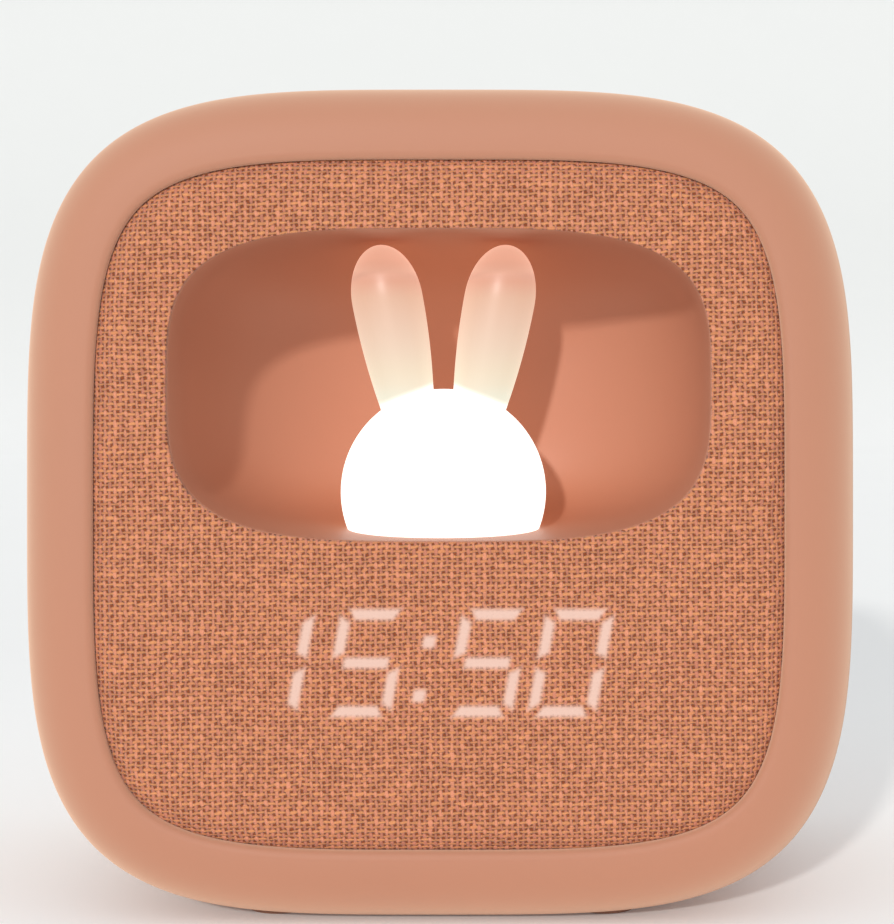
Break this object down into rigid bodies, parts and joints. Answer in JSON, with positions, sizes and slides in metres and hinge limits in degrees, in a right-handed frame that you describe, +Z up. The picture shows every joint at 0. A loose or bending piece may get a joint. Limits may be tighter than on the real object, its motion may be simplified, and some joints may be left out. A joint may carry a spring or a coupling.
{
  "type": "alarm clock",
  "caption": "Soft square alarm clock with a cloth front, a lit rabbit-shaped night light in a niche, a digital time display behind the cloth and push buttons at the back.",
  "frame": {"origin": "on the surface the clock stands on, under the middle of its bounding box", "axes": "+Z up, -Y towards the viewer of the display, +X to the viewer's right"},
  "size_m": [0.13, 0.085, 0.1303],
  "materials": {
    "body_shell": "soft-touch matt",
    "rear_plastic": "fine matt texture",
    "panel_plastic": "matt",
    "woven_cloth": "coarse two-tone plain weave",
    "niche_plastic": "smooth matt",
    "lamp_shade": "translucent milky, lit from inside",
    "white_plastic": "matt",
    "white_board": "white solder mask",
    "led": "clear resin, glowing",
    "screw_steel": "zinc plated",
    "light_bar": "milky, glowing",
    "circuit_board": "solder mask",
    "dark_plastic": "moulded",
    "socket_metal": "nickel plated",
    "button_plastic": "soft-touch matt",
    "plunger_plastic": "moulded",
    "speaker_metal": "black painted",
    "magnet": "ferrite",
    "speaker_paper": "black paper",
    "gasket_foam": "closed-cell foam",
    "cell_sleeve": "shrink sleeve",
    "lead_white": "insulated wire",
    "lead_grey": "insulated ribbon",
    "lead_red": "insulated wire",
    "lead_black": "insulated wire",
    "foot_rubber": "matt"
  },
  "bodies": {
    "clock": {"housing": "body_shell", "rear_cover": "rear_plastic", "front_panel": "panel_plastic", "fabric_cover": "woven_cloth", "lamp_niche": "niche_plastic", "rabbit_shade": "lamp_shade", "lamp_holder": "white_plastic", "lamp_board": "white_board", "lamp_leds": "led", "holder_screws": "screw_steel", "display_frame": "white_plastic", "display_segments": "light_bar", "display_board": "circuit_board", "display_leds": "led", "display_screws": "screw_steel", "main_board": "circuit_board", "controller_chip": "dark_plastic", "board_chips": "dark_plastic", "clock_crystal": "socket_metal", "lead_sockets": "white_plastic", "board_screws": "screw_steel", "switch_bodies": "dark_plastic", "slide_switch": "dark_plastic", "usb_socket": "socket_metal", "speaker_basket": "speaker_metal", "speaker_magnet": "magnet", "speaker_cone": "speaker_paper", "speaker_gasket": "gasket_foam", "speaker_screws": "screw_steel", "battery_cradle": "white_plastic", "battery_cell": "cell_sleeve", "lamp_lead": "lead_white", "display_lead": "lead_grey", "battery_lead": "lead_red", "speaker_lead": "lead_black", "panel_screws": "screw_steel", "rear_screws": "screw_steel", "rubber_feet": "foot_rubber"},
    "time_button": {"button_time": "button_plastic", "plunger_time": "plunger_plastic"},
    "alarm_button": {"button_alarm": "button_plastic", "plunger_alarm": "plunger_plastic"},
    "light_button": {"button_light": "button_plastic", "plunger_light": "plunger_plastic"},
    "plus_button": {"button_plus": "button_plastic", "plunger_plus": "plunger_plastic"},
    "minus_button": {"button_minus": "button_plastic", "plunger_minus": "plunger_plastic"},
    "alarm_slider": {"slide_knob": "button_plastic"}
  },
  "joints": [
    {"name": "time_press", "type": "slide", "parent": "clock", "child": "time_button", "axis": [0, -1, 0], "range_m": [0, 0.0005], "stiffness_N_per_m": 1000},
    {"name": "alarm_press", "type": "slide", "parent": "clock", "child": "alarm_button", "axis": [0, -1, 0], "range_m": [0, 0.0005], "stiffness_N_per_m": 1000},
    {"name": "light_press", "type": "slide", "parent": "clock", "child": "light_button", "axis": [0, -1, 0], "range_m": [0, 0.0005], "stiffness_N_per_m": 1000},
    {"name": "plus_press", "type": "slide", "parent": "clock", "child": "plus_button", "axis": [0, -1, 0], "range_m": [0, 0.0005], "stiffness_N_per_m": 1000},
    {"name": "minus_press", "type": "slide", "parent": "clock", "child": "minus_button", "axis": [0, -1, 0], "range_m": [0, 0.0005], "stiffness_N_per_m": 1000},
    {"name": "alarm_slide", "type": "slide", "parent": "clock", "child": "alarm_slider", "axis": [1, 0, 0], "range_m": [0, 0.003]}
  ]
}
